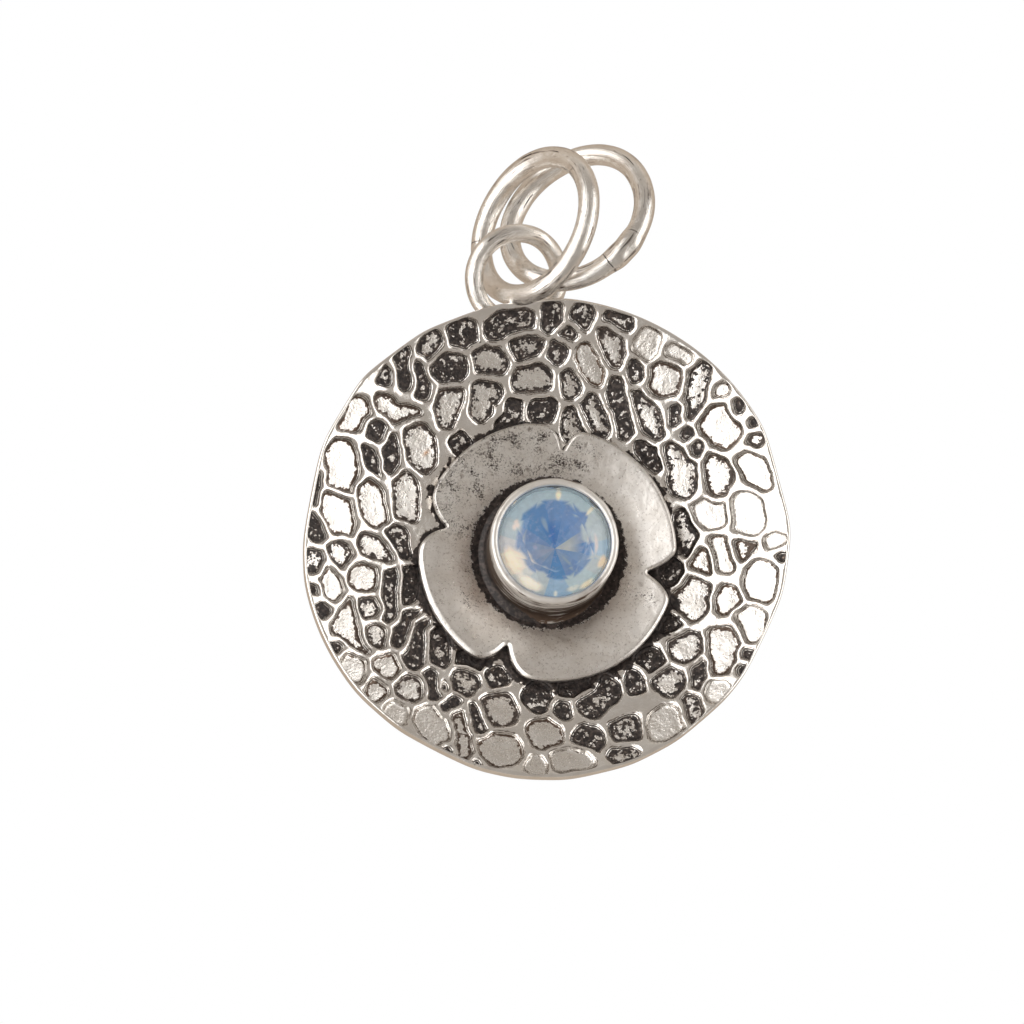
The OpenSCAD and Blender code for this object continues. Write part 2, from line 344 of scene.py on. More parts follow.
# The hollows between the plate's ridges: how dark each is, then angle, radius and reach along it
PEBBLES = (
    (0.75, 1.4, 11.8, 0.5, 0.6, 11.2, 0.3), (0.7, 8.7, 11.95, 0.5, 9.6, 11.5, 0.2),
    (0.95, 15.3, 12.1, 0.17, 19.7, 12.1, 0.2), (0.15, 26.5, 11.6, 0.68),
    (0.1, 32.7, 11.9, 0.3, 37.3, 12, 0.28), (0.6, 41.5, 11.9, 0.45, 47.4, 10.3, 0.36),
    (0.3, 48.5, 12, 0.33), (0.9, 53.8, 12.15, 0.12, 54.9, 12.02, 0.12), (0.8, 59.6, 12.3, 0.1),
    (0.5, 63.3, 12, 0.3), (0.35, 67.3, 11.15, 0.45, 70.4, 11.4, 0.6, 74.5, 11.65, 0.3),
    (0.1, 89.4, 11.3, 0.38, 89.4, 11.85, 0.42), (0.7, 93, 12.05, 0.2),
    (0.35, 97.8, 11.1, 0.72, 102, 11.15, 0.7), (0.3, 109.5, 11.1, 0.62, 113.8, 11.4, 0.48),
    (0.9, 119.3, 11.75, 0.22), (0.9, 123.6, 11.85, 0.16), (0.12, 131.5, 11.6, 0.6),
    (0.6, 138, 11, 0.36, 140.7, 11.6, 0.4), (0.28, 145, 11.1, 0.72, 149.3, 11.1, 0.72),
    (0.6, 158.8, 11.8, 0.26, 162.8, 11.65, 0.3), (0.2, 171, 11.3, 0.62, 176.5, 11.35, 0.6),
    (0.2, 183, 11.7, 0.55), (0.38, 191.5, 11.05, 0.84, 194.5, 11.1, 0.84),
    (0.95, 197.7, 12.2, 0.24), (0.45, 201.2, 11.8, 0.5, 206.2, 10.1, 0.45),
    (0.95, 204.9, 12.1, 0.2), (0.3, 209.5, 11.35, 0.8, 212.5, 11.1, 0.8), (0.25, 220.5, 11.95, 0.6),
    (0.4, 228.3, 11.8, 0.6), (0.3, 236.3, 11.95, 0.56, 231.9, 12.1, 0.3), (0.95, 242.1, 12.2, 0.2),
    (0.45, 251.9, 10.5, 0.15, 245.9, 11.4, 0.58, 237.8, 10.95, 0.12), (0.9, 251.5, 12.1, 0.26),
    (0.9, 257, 12.25, 0.13), (0.35, 259.5, 11.35, 0.46, 256, 11.3, 0.48),
    (0.6, 265, 11.95, 0.34, 262.3, 12.05, 0.3), (0.85, 273.9, 12.05, 0.26, 270.5, 11.85, 0.3),
    (0.85, 285.1, 12.1, 0.06, 281.5, 12.12, 0.12, 278.5, 12.1, 0.1),
    (0.42, 292.5, 11.3, 0.74, 286.9, 10.95, 0.74),
    (0.4, 305, 11.7, 0.5, 301.2, 11.6, 0.42, 298, 11.95, 0.15),
    (0.9, 316.3, 11.9, 0.15, 314.5, 11.7, 0.26), (0.95, 322, 12, 0.3, 319.4, 11, 0.34),
    (0.6, 331.4, 11.85, 0.28, 328.4, 11.65, 0.46), (0.85, 337.3, 11.6, 0.52, 339.7, 11.4, 0.52),
    (0.75, 345.3, 11.3, 0.42, 349.4, 11.55, 0.42, 355.2, 11.55, 0.36),
    (0.95, 4.4, 10.9, 0.18, 6.5, 11, 0.26), (0.7, 3.7, 10.2, 0.46, 3.8, 9.65, 0.2),
    (0.5, 15.3, 11.4, 0.28, 18.7, 10.8, 0.56, 21.5, 10.25, 0.28),
    (0.38, 11.2, 10.3, 0.35, 13.7, 9.7, 0.56, 17.7, 9.2, 0.32),
    (0.8, 26.1, 10.4, 0.28, 28, 10.05, 0.28), (0.45, 35.5, 10.6, 0.8),
    (0.42, 54, 10.9, 0.82, 57.3, 10.85, 0.78), (0.12, 79, 10.5, 0.78, 84, 10.5, 0.76),
    (0.45, 89.8, 10.85, 0.25, 88.8, 10.1, 0.4, 92.2, 10.15, 0.3),
    (0.42, 118.8, 10.4, 0.78, 124.2, 10.75, 0.7), (0.85, 127.2, 10.15, 0.25, 133, 10.5, 0.28),
    (0.72, 155.5, 10.5, 0.6, 158.8, 10.4, 0.5, 161, 10.4, 0.2), (0.8, 168, 10.4, 0.7),
    (0.42, 180.3, 9.85, 0.84), (0.9, 203, 9.4, 0.28, 199.4, 10.25, 0.3),
    (0.85, 209.4, 9.5, 0.26, 210.7, 10.1, 0.26), (0.5, 222.5, 10.35, 0.66), (0.4, 231, 10.45, 0.66),
    (0.5, 240.3, 9.9, 0.56), (0.55, 249.3, 9.7, 0.52), (0.42, 258.5, 9.5, 0.72),
    (0.5, 266.5, 10.6, 0.52, 264.8, 10.5, 0.4), (0.4, 278.8, 10.95, 0.76, 274.5, 10.5, 0.6),
    (0.9, 297.2, 10.4, 0.14, 295.2, 9.8, 0.3, 292.9, 9.3, 0.12), (0.7, 303.3, 10.4, 0.48),
    (0.45, 310.5, 10.95, 0.48, 310.2, 10.3, 0.42, 316.2, 9.45, 0.15),
    (0.85, 323.5, 11.2, 0.24, 321.7, 10.1, 0.34), (0.85, 329.8, 10.45, 0.55, 333.4, 10.3, 0.6),
    (0.6, 342.1, 10.1, 0.62, 345.7, 9.85, 0.62), (0.65, 352.2, 10.25, 0.5, 357, 10.4, 0.42),
    (0.6, 8.6, 8.9, 0.38, 10.4, 8.35, 0.42),
    (0.75, 23.1, 9.25, 0.28, 27, 8.4, 0.38, 35, 7.45, 0.26),
    (0.55, 30.4, 9.3, 0.17, 35.7, 8.9, 0.45, 41, 8.55, 0.52, 44.2, 8.4, 0.3),
    (0.65, 43.6, 9.8, 0.28, 46, 9.4, 0.22), (0.9, 50.8, 9.45, 0.25),
    (0.9, 56.2, 9.5, 0.2, 57.3, 9.3, 0.2),
    (0.48, 62.7, 9.75, 0.4, 67.2, 9.75, 0.62, 71.5, 9.4, 0.38),
    (0.55, 52.4, 8.3, 0.36, 59.8, 8.2, 0.64, 65.7, 7.9, 0.5),
    (0.25, 77.5, 8.45, 0.66, 79.2, 8.95, 0.66), (0.35, 88.4, 8.95, 0.38, 95.1, 9.35, 0.42),
    (0.4, 106.5, 9.7, 0.68), (0.4, 91.7, 8.1, 0.33, 94.7, 8.05, 0.48, 98, 8.45, 0.2),
    (0.48, 106.8, 8, 0.84, 110.5, 8.1, 0.84), (0.52, 125.5, 8.85, 0.82), (0.6, 138, 9.45, 0.72),
    (0.9, 145, 8.2, 0.3, 147, 8.5, 0.42), (0.75, 157, 8.1, 0.6, 164, 8.55, 0.64),
    (0.9, 174, 8.6, 0.4), (0.9, 182.3, 7.85, 0.66), (0.5, 195.5, 8.9, 0.86),
    (0.65, 210, 8.25, 0.64), (0.85, 220.5, 9.05, 0.26, 215.5, 9.7, 0.26), (0.9, 214.9, 9.1, 0.22),
    (0.8, 228, 9.1, 0.42, 237, 7.6, 0.42), (0.85, 236.5, 9, 0.42, 242, 7.7, 0.42),
    (0.85, 244.5, 8.7, 0.34, 257.5, 7.95, 0.34), (0.5, 269.3, 8.95, 0.56, 265, 8.1, 0.22),
    (0.42, 285.7, 9.35, 0.6, 279.3, 8.8, 0.58), (0.85, 303.5, 9.4, 0.34, 297, 8.9, 0.34),
    (0.5, 309.6, 8.4, 0.78, 305.6, 7.65, 0.58),
    (0.52, 331.2, 8.95, 0.2, 326, 8.95, 0.62, 322.4, 8.2, 0.32),
    (0.58, 342, 8.4, 0.42, 338, 8.6, 0.46, 335.5, 7.75, 0.42),
    (0.55, 353.1, 8.8, 0.58, 358, 8.75, 0.64), (0.8, 357.3, 7.2, 0.4, 2.6, 7.25, 0.42),
    (0.6, 11.3, 7.1, 0.36, 14.2, 6.5, 0.55),
    (0.6, 17.2, 7.9, 0.42, 21.9, 7.35, 0.54, 27, 6.95, 0.28),
    (0.95, 43.3, 7.4, 0.2, 47.9, 7.4, 0.3, 53.5, 7.3, 0.2),
    # The hollow from 97 to 103 degrees, in a notch, is dark partly from painted shade under the petals
    (0.6, 76.5, 7.35, 0.33, 83.3, 7.4, 0.45, 89.4, 7.25, 0.4), (1, 97, 6.6, 0.45, 103.4, 6.8, 0.28),
    (0.9, 121.5, 7.7, 0.42), (0.8, 137, 8, 0.58), (0.95, 162, 7.55, 0.24, 172, 7.55, 0.24),
    (1, 199.5, 7.2, 0.42), (0.9, 216, 7.25, 0.25, 210, 6.95, 0.25),
    (0.75, 222.6, 7.85, 0.43, 228.9, 7.25, 0.43), (0.85, 247.5, 7.65, 0.36, 258, 6.95, 0.36),
    (0.75, 273.8, 7.55, 0.42, 265.4, 7.1, 0.12), (0.5, 293.9, 7.75, 0.58, 285.4, 7.3, 0.6),
    (0.8, 322, 6.9, 0.4), (0.8, 348.8, 7.4, 0.38, 347.8, 6.95, 0.33, 340.7, 6.75, 0.12))
# Height of the relief over the dish, by the distance in from a hollow's edge
RELIEF = ((-0.2, 0.0), (-0.12, -0.004), (-0.07, -0.017), (-0.03, -0.036), (0.0, -0.06),
          (0.06, -0.14), (0.1, -0.178), (0.16, -0.19), (0.3, -0.17), (0.5, -0.155))
# How far patina and painted shade reach from under the flower's edge, by angle
NEAR = ((0, 0.2), (12, 0.15), (25, 0.3), (45, 0.2), (60, 0.35), (75, 0.2), (90, 0.35), (100, 0.7),
        (118, 0.55), (135, 0.55), (150, 0.4), (165, 0.45), (180, 0.35), (198, 0.55), (208, 0.6),
        (216, 0.4), (235, 0.3), (250, 0.5), (262, 0.45), (272, 0.25), (285, 0.35), (300, 0.15),
        (322, 0.25), (345, 0.3))


def hollows(x, y):
    """How far in from the edge of the nearest hollow each place lies, and how dark that hollow is.
    A hollow is a row of soft squares, turned its own way. Darker ones are a little wider."""
    between_marks = np.linspace(0, 1, 8)[1:-1]
    soften = 0.04
    reaches = []
    for number, (dark, *marks) in enumerate(PEBBLES):
        spots = [(r * math.sin(math.radians(a)), r * math.cos(math.radians(a)), reach)
                 for a, r, reach in zip(marks[::3], marks[1::3], marks[2::3])]
        spots += [tuple(np.array(start) + (np.array(end) - start) * part)
                  for start, end in zip(spots, spots[1:]) for part in between_marks]
        cos, sin = math.cos(number * 2.4), math.sin(number * 2.4)
        squares = [(abs((x - px) * cos + (y - py) * sin) ** 3
                    + abs((y - py) * cos - (x - px) * sin) ** 3) ** (1 / 3) - reach
                   for px, py, reach in spots]
        growth = 0.07 + 0.15 * dark
        reaches.append(np.min(squares, axis=0) - growth)
    reaches = np.array(reaches)
    nearest = reaches.argmin(axis=0)
    two = np.partition(reaches, 1, axis=0)[:2]
    to_ridge = (two[1] - two[0]) / 2 - HALF_RIDGE
    into = -soften * np.log(np.exp(two[0] / soften) + np.exp(-to_ridge / soften))
    return into, np.array([row[0] for row in PEBBLES])[nearest]


def unevenness(slope, turn, layer, scale):
    """Smooth noise over the dish, at each angle from its axis and angle round it."""
    return np.array([noise.noise(Vector((a * math.sin(t), a * math.cos(t), layer)) * scale)
                     for a, t in zip(slope.ravel(), turn.ravel())]).reshape(slope.shape)


def past_petals(spots):
    """How far the plate's points lie past the patina and painted shade that reach out from under
    the petals. Low points, as on the back, count as far."""
    from_x, from_y = spots[:, 0] - FLOWER_AT.x, spots[:, 1] - FLOWER_AT.y
    edge_x, edge_y = flower_outline()
    around = np.degrees(np.arctan2(from_x, from_y))
    petal = np.interp(around, np.degrees(np.arctan2(edge_x, edge_y)), np.hypot(edge_x, edge_y),
                      period=360)
    past = np.hypot(from_x, from_y) - petal - np.interp(around, *zip(*NEAR), period=360)
    return np.where(spots[:, 2] < 0.5, 9, past)


def make_plate(material):
    """The dished sheet. Its face is spun as a fine net and sinks into the hollows, and its edge is
    drawn in where it was trimmed."""
    steps = 840
    round_top = 0.14
    round_back = 0.06
    face_inset = 0.1
    top_edge = math.asin((PLATE_R - face_inset) / DISH_R)
    under_flower = math.asin(4.6 / DISH_R)
    in_sight = math.asin(5.4 / DISH_R)
    # Each ring's angle from the axis, and its distance from the dish's centre
    rings = [(a, DISH_R) for a in (0, 0.06, 0.12)]
    first = len(rings)
    rings += [(a, DISH_R) for a in np.linspace(under_flower, in_sight, 7)]
    rings += [(a, DISH_R) for a in np.linspace(in_sight, top_edge - round_top / DISH_R, 88)[1:]]
    face = slice(first, len(rings))
    rings += [(top_edge - round_top * (1 - math.sin(t)) / DISH_R,
               DISH_R + round_top * (1 - math.cos(t))) for t in (0.4, 0.8, 1.2, math.pi / 2)]
    tops = len(rings)
    rings += [(EDGE_ANGLE - round_back * (1 - math.cos(t)) / BACK_R,
               BACK_R - round_back * (1 - math.sin(t))) for t in (0, 0.5, 1.0, math.pi / 2)]
    rings += [(a, BACK_R) for a in np.linspace(EDGE_ANGLE - 0.01, 0, 9)]
    profile = [(far * math.sin(a), BACK_R - far * math.cos(a)) for a, far in rings]
    piece = lathe("plate", profile, steps)
    grid = ring_grid(piece, profile, steps)

    turn = np.arange(steps) / steps * 2 * math.pi
    limits = np.array([edge_limit(t) for t in turn])
    limits += [0.0009 * noise.noise(Vector((math.sin(t), math.cos(t), 0)) * 5) for t in turn]
    for _ in range(60):
        limits = 0.5 * limits + 0.25 * (np.roll(limits, 1) + np.roll(limits, -1))
    slope, depth = (np.repeat(column[:, None], steps, axis=1) for column in np.array(rings).T)
    slope[tops:] *= limits / EDGE_ANGLE
    limits = np.arcsin((BACK_R * np.sin(limits) - face_inset) / DISH_R)
    stretch = (limits - under_flower) / (top_edge - under_flower)
    slope[first:tops] = under_flower + (slope[first:tops] - under_flower) * stretch
    turn = np.tile(turn, (len(rings), 1))

    x = DISH_R * np.sin(slope[face]) * np.sin(turn[face])
    y = DISH_R * np.sin(slope[face]) * np.cos(turn[face])
    drift = np.array([wander(Vector(spot), 0.9, 0.08) + wander(Vector(spot), 0.35, 0.045)
                      for spot in zip(x.ravel(), y.ravel(), np.full(x.size, 9))])
    band, dark = hollows(x + drift[:, 0].reshape(x.shape), y + drift[:, 1].reshape(x.shape))
    rows = np.pad(band, ((1, 1), (0, 0)), mode="edge")
    sides = np.roll(band, 1, axis=1) + np.roll(band, -1, axis=1)
    band = 0.5 * band + 0.125 * (rows[:-2] + rows[2:] + sides)
    into = np.full(slope.shape, -1.0)
    into[face] = band
    tarnish = np.zeros(slope.shape)
    tarnish[face] = dark

    fade = np.clip((limits - slope[face]) * DISH_R / 0.12, 0, 1)
    level = np.interp(band, *zip(*RELIEF)) * (0.6 + 0.4 * np.clip(dark / 0.35, 0, 1))
    dents = unevenness(slope[face], turn[face], 0, 22)
    ripples = unevenness(slope[face], turn[face], 0.3, 70)
    depth[face] -= fade * (level + 0.014 * dents + 0.012 * ripples)
    x = depth * np.sin(slope) * np.sin(turn)
    y = depth * np.sin(slope) * np.cos(turn)
    z = BACK_R - depth * np.cos(slope)
    shaped = places(piece)
    shaped[grid] = np.stack((x, y, z), axis=-1)
    set_places(piece, shaped)
    across, up = x - RUST_AT.x, y - RUST_AT.y
    rust = 0.8 * np.exp(-((across - 0.7 * up) / 0.12) ** 2 - (up / 0.16) ** 2) * (into > 0)
    for name, amounts in (("pebble_edge", into), ("tarnish", tarnish), ("rust", rust)):
        values = np.zeros(len(shaped))
        values[grid] = amounts
        add_values(piece, name, values)
    add_values(piece, "from_flower", past_petals(shaped))
    settle(piece, PLATE_PLACE, material, "oxidised_silver", "silverwork")


def flower_outline():
    """The flower's edge at even steps along its length, from its middle, with rounded corners."""
    turn = np.linspace(0, 360, 7200, endpoint=False)
    rim = np.interp(turn, *zip(*PETALS), period=360)
    radius = rim
    for angle, tip, wide_before, full_before, wide_after, full_after in NOTCHES:
        off = (turn - angle + 180) % 360 - 180
        wide = np.where(off < 0, wide_before, wide_after)
        full = np.where(off < 0, full_before, full_after)
        opened = 1 - np.clip(1 - np.abs(off) / wide, 0, 1) ** full
        radius = np.minimum(radius, tip + (rim - tip) * opened)
    x, y = radius * np.sin(np.radians(turn)), radius * np.cos(np.radians(turn))
    for _ in range(2):
        x, y = np.append(x, x[0]), np.append(y, y[0])
        length = np.append(0, np.cumsum(np.hypot(np.diff(x), np.diff(y))))
        even = np.arange(FLOWER_STEPS) / FLOWER_STEPS * length[-1]
        x, y = np.interp(even, length, x), np.interp(even, length, y)
        for _ in range(6):
            x = 0.5 * x + 0.25 * (np.roll(x, 1) + np.roll(x, -1))
            y = 0.5 * y + 0.25 * (np.roll(y, 1) + np.roll(y, -1))
    return x, y


# Specks on the petals: angle, radius, and how many there are
SPECKS = ((350, 5.6, 1.0), (330, 5.6, 0.8), (310, 5.2, 1.0), (15, 5.0, 0.9), (40, 5.6, 0.45),
          (290, 4.8, 1.0), (270, 5.6, 0.3), (265, 4.6, 0.8), (245, 4.6, 0.7), (230, 5.8, 0.5),
          (205, 4.8, 0.6), (190, 5.6, 0.65), (165, 5.6, 0.5), (140, 5.6, 0.35), (105, 5.0, 0.7),
          (75, 5.4, 0.35), (315, 4.2, 0.6), (60, 4.2, 0.35), (180, 4.6, 0.55))
# How wide the flower's bevelled edge is, by angle
BEVEL = ((0, 0.5), (45, 0.55), (90, 0.55), (135, 0.7), (180, 0.5), (205, 0.8), (235, 1.1),
         (262, 0.9), (285, 0.5), (320, 0.5))


def by_place(table, x, y):
    """A charted amount at each place, from a table of angle, radius and amount."""
    blur = 1.6
    total = weight = 0
    for angle, radius, amount in table:
        turn = math.radians(angle)
        away = (x - radius * math.sin(turn)) ** 2 + (y - radius * math.cos(turn)) ** 2
        near = np.exp(-away / blur) + 1e-12
        total = total + near * amount
        weight = weight + near
    return total / weight


def make_flower(material):
    """The dished sheet of four petals, from a round one whose rings run out to the petals' edge,
    with a bevel round its face. It leans a little and is a little uneven."""
    hole = 2.7
    # Each ring: how far out it lies, how far in from the edge, and its depth in the sheet
    rings = [(t, 0.34 + (1 - t) * 0.4, 0) for t in np.linspace(0, 1, 30)]
    rings += [(1, inset, deep) for inset, deep in ((0.29, 0.008), (0.26, 0.022), (0.09, 0.11),
                                                   (0.05, 0.15), (0.02, 0.22), (0, 0.3), (0, 0.42),
                                                   (0.03, 0.5))]
    rings += [(t, 0.1 + (1 - t) * 0.4, FLOWER_SHEET) for t in np.linspace(1, 0, 8)]
    rings += [rings[0]]
    profile = [(hole + 4 * t - 0.3 * inset, 1 - 2 * deep) for t, inset, deep in rings]
    piece = lathe("flower", profile, FLOWER_STEPS)
    grid = ring_grid(piece, profile, FLOWER_STEPS)
    edge_x, edge_y = flower_outline()
    along_x = np.roll(edge_x, -1) - np.roll(edge_x, 1)
    along_y = np.roll(edge_y, -1) - np.roll(edge_y, 1)
    size = np.hypot(along_x, along_y)
    in_x, in_y = along_y / size, -along_x / size
    bevel = np.interp(np.degrees(np.arctan2(edge_x, edge_y)), *zip(*BEVEL), period=360)
    turn = np.arange(FLOWER_STEPS) / FLOWER_STEPS * 2 * math.pi
    shaped = places(piece)
    foot = np.full(len(shaped), 9.0)
    for row, (t, inset, deep) in zip(grid, rings):
        wide = 1 if deep > 0.2 else bevel
        x, y = edge_x + in_x * inset * wide, edge_y + in_y * inset * wide
        radius = np.hypot(x, y)
        angle = np.unwrap(np.arctan2(x, y))
        angle = turn + (angle - turn) * t ** 0.7 if t < 1 else angle
        radius = hole + (radius - hole) * t
        lift = np.array([0.018 * noise.noise(Vector((r * math.sin(a), r * math.cos(a), 3)) / 2.2)
                         + 0.009 * noise.noise(Vector((r * math.sin(a), r * math.cos(a), 7)) / 0.7)
                         for r, a in zip(radius, angle)]) * min(1, 2 * t)
        spot = np.stack((radius * np.sin(angle) + FLOWER_AT.x, radius * np.cos(angle) + FLOWER_AT.y,
                         FLOWER_RIM - (FLOWER_R - radius) * FLOWER_FLARE + lift - deep), axis=-1)
        spot[:, 2] += spot[:, 0] * FLOWER_LEAN
        shaped[row] = spot
        foot[row] = np.hypot(spot[:, 0] - BEZEL_AT.x, spot[:, 1] - BEZEL_AT.y) - BEZEL_R
    set_places(piece, shaped)
    add_values(piece, "from_bezel", foot)
    specks = by_place(SPECKS, shaped[:, 0] - FLOWER_AT.x, shaped[:, 1] - FLOWER_AT.y)
    add_values(piece, "tarnish", specks)
    settle(piece, PLATE_PLACE, material, "polished_silver", "silverwork")


# How high patina stands on the bezel's wall, by angle
BEZEL_STAIN = ((0, 0.5), (60, 0.35), (110, 0.3), (145, 0.1), (172, 0.0), (192, 0.12), (215, 0.4),
               (240, 0.6), (265, 1.1), (300, 1.3), (335, 0.8))


def make_bezel(material):
    """A tube with a rounded lip, and a ledge inside it. A fillet of solder runs round its foot,
    and spreads wider and higher toward the plate's bottom."""
    lip = (BEZEL_R - BEZEL_OPENING_R) / 2
    sunk = BEZEL_FOOT - 0.3
    foot = BEZEL_FOOT + 0.02
    fillet = 0.3
    spread = 1.1
    inside_r = 3.03
    ledge_r = 2.5
    start = (BEZEL_R + fillet + 0.1, sunk)
    profile = [start, (BEZEL_R + fillet, foot)]
    profile += [(BEZEL_R + fillet * (1 - math.sin(t)), foot + fillet * (1 - math.cos(t)))
                for t in (0.4, 0.8, 1.2)]
    profile += [(BEZEL_R, z) for z in np.linspace(foot + fillet, BEZEL_TOP - lip, 9)[:-1]]
    profile += [(BEZEL_R - lip * (1 - math.cos(t)), BEZEL_TOP - lip * (1 - math.sin(t)))
                for t in np.linspace(0, math.pi, 12)]
    profile += [(BEZEL_OPENING_R, BEZEL_TOP - lip - 0.05), (inside_r, BEZEL_TOP - 0.5),
                (inside_r, BEZEL_FOOT + 1.6), (ledge_r, BEZEL_FOOT + 1.0), (ledge_r, sunk), start]
    piece = lathe("bezel", profile, 256)
    shaped = places(piece)
    for spot in shaped:
        radius = math.hypot(spot[0], spot[1])
        below = max(0, -spot[1] / radius) ** 3
        if radius > BEZEL_R - 0.001 and 0 < spot[2] - BEZEL_FOOT < fillet + 0.03:
            spot[2] += (spot[2] - foot) * spread * below
        if radius > BEZEL_R:
            spot[:2] *= 1 + (radius - BEZEL_R) * spread * below / radius
        here = Vector(spot)
        drift = (wander(here, 1.6, 0.03) + wander(here, 0.5, 0.01)) * share(radius, 2.95, 0.3)
        spot[:2] += drift[:2]
    set_places(piece, shaped)
    around = np.degrees(np.arctan2(shaped[:, 0], shaped[:, 1]))
    stain = np.interp(around, *zip(*BEZEL_STAIN), period=360)
    add_values(piece, "height", shaped[:, 2] - BEZEL_FOOT - stain)
    add_values(piece, "inward", BEZEL_R - np.hypot(shaped[:, 0], shaped[:, 1]))
    settle(piece, BEZEL_PLACE, material, "polished_silver", "silverwork")


def wire_ring(name, ring_r, wire_r, seed, joint=0, lump=0.0, bulge=(0, 0), segments=224, sides=36):
    """A ring of drawn wire, bent by hand, so it is a little out of round and may bulge at one
    angle. Its ends meet at the joint. Where a lump of solder stands out there, a line shows at
    each of its ends."""
    lump_middle = 0.9
    lump_length = 1.95
    bulge_at, bulge_by = bulge
    deselect()
    bpy.ops.mesh.primitive_torus_add(major_segments=segments, minor_segments=sides,
                                     major_radius=ring_r, minor_radius=wire_r, location=(0, 0, 0))
    piece = named(name)
    shaped = places(piece)
    along = []
    for spot in shaped:
        way = Vector((spot[0], spot[1], 0)).normalized()
        angle = math.atan2(way.y, way.x)
        from_joint = math.radians((math.degrees(angle) - joint + 180) % 360 - 180) * ring_r
        ends = (from_joint, from_joint + lump_length)
        along.append(min(ends, key=abs) if lump else from_joint)
        core = way * ring_r
        out = Vector(spot) - core
        swell = lump * math.exp(-(from_joint + lump_middle) ** 4)
        swell *= 0.9 + 0.6 * noise.noise(Vector(spot) * 1.4)
        drift = way * 0.03 * noise.noise(way * 1.3 + Vector((0, 0, seed)))
        drift += way * bulge_by * max(0, math.cos(angle - math.radians(bulge_at))) ** 4
        drift += wander(Vector(spot) + Vector((0, 0, seed)), 0.7, 0.008)
        spot[:] = core + out * (1 + swell) + drift
    set_places(piece, shaped)
    add_values(piece, "from_joint", along)
    bpy.ops.object.shade_smooth()
    return piece


def lying(at, lean, toward):
    """The place of a ring that leans from the floor, with its high side toward an angle."""
    turn = Matrix.Rotation(math.radians(toward), 4, "Z") @ Matrix.Rotation(math.radians(-lean), 4, "Y")
    return Matrix.Translation(at) @ turn


def make_loop(material):
    """The small ring that is soldered behind the plate's edge."""
    piece = wire_ring("loop", LOOP_R, LOOP_WIRE_R, 3, 130, segments=160, sides=32)
    place = TO_FLOOR @ lying(LOOP_AT, LOOP_LEAN, LOOP_TOWARD)
    settle(piece, place, material, "polished_silver", "silverwork")


def make_drops(material):
    """Two drops of solder that hold the loop."""
    deselect()
    made = []
    for at in DROPS:
        bpy.ops.mesh.primitive_uv_sphere_add(segments=48, ring_count=24, radius=DROP_R, location=at)
        made.append(bpy.context.object)
    for drop in made:
        drop.select_set(True)
    bpy.ops.object.join()
    bpy.ops.object.transform_apply(location=True, rotation=True, scale=True)
    piece = named("solder")
    bpy.ops.object.shade_smooth()
    settle(piece, TO_FLOOR, material, "polished_silver", "silverwork")


def make_jump_ring(name, node, lean, toward, material, **form):
    """A loose ring for the chain, where its node is."""
    low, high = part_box(node)
    centre = (low + high) / 2 / MM
    piece = wire_ring(name, RING_R, RING_WIRE_R, **form)
    settle(piece, lying(centre, lean, toward), material, "polished_silver", node)


def tinted(*rows):
    """A table's rows, with the colours in them as arrays of linear light."""
    return [[np.array(tint(*cell)) if isinstance(cell, tuple) else cell for cell in row]
            for row in rows]


# Colours in the stone by the angle where each wedge starts: near the middle, farther out, and
# past the blue. Their light and dark wedges are partly painted reflections of the stone's facets.
WEDGES = tinted(
    (-36, (44, 108, 164), (68, 118, 168), (164, 182, 190)),
    (-12, (36, 102, 162), (86, 126, 172), (166, 184, 190)),
    (16, (76, 122, 170), (92, 128, 174), (164, 182, 188)),
    (44, (90, 128, 170), (104, 132, 172), (176, 186, 186)),
    (62, (164, 168, 164), (120, 138, 166), (172, 182, 184)),
    (84, (170, 172, 166), (78, 120, 166), (154, 176, 190)),
    (106, (96, 128, 164), (104, 132, 166), (174, 182, 182)),
    (126, (112, 136, 164), (84, 120, 166), (168, 184, 186)),
    (160, (56, 116, 166), (66, 122, 168), (140, 168, 190)),
    (191, (104, 132, 164), (84, 122, 168), (176, 184, 184)),
    (215, (124, 142, 164), (96, 126, 170), (200, 198, 190)),
    (232, (134, 144, 164), (110, 134, 170), (216, 206, 190)),
    (258, (124, 142, 166), (104, 132, 170), (190, 188, 188)),
    (278, (98, 128, 168), (92, 124, 168), (170, 182, 186)),
    (300, (70, 120, 166), (68, 120, 168), (164, 182, 190)))
# Soft flashes of other colours, the pale ones partly painted highlights on the outer facets:
# angle, radius, half its angle, half its reach, colour
FLASHES = tinted(
    (6, 2.35, 3, 0.3, (240, 226, 194)), (47, 2.35, 2, 0.35, (226, 216, 190)),
    (88, 1.85, 14, 0.12, (206, 194, 190)), (110, 2.5, 6, 0.2, (240, 214, 180)),
    (141, 2.55, 8, 0.18, (236, 222, 190)), (157, 2.35, 6, 0.16, (206, 206, 196)),
    (178, 2.45, 2, 0.2, (216, 216, 206)), (297, 1.95, 5, 0.14, (222, 206, 194)),
    (211, 2.25, 13, 0.36, (252, 238, 214)), (247, 2.1, 16, 0.42, (248, 228, 198)),
    (-24, 1.2, 5, 0.3, (120, 146, 170)), (266, 1.0, 6, 0.1, (146, 150, 174)),
    (350, 0.7, 9, 0.45, (30, 98, 164)), (140, 0.9, 4, 0.4, (128, 148, 164)),
    (35, 1.0, 6, 0.3, (76, 120, 170)))
# Where the stone's blue middle is seen to end: x and y about its axis
BLUE_EDGE = ((0.0, 2.03), (0.75, 1.9), (1.13, 1.47), (1.58, 1.5), (1.6, 1.22), (1.42, 1.0),
             (1.46, 0.32), (1.77, 0.13), (1.72, -0.6), (1.36, -0.98), (0.7, -1.55), (0.27, -1.58),
             (-0.45, -1.42), (-0.62, -1.24), (-1.0, -1.22), (-1.4, -0.84), (-1.46, -0.6),
             (-1.89, -0.12), (-1.82, 0.48), (-1.72, 0.92), (-1.65, 1.35), (-1.16, 1.68),
             (-0.7, 1.97))


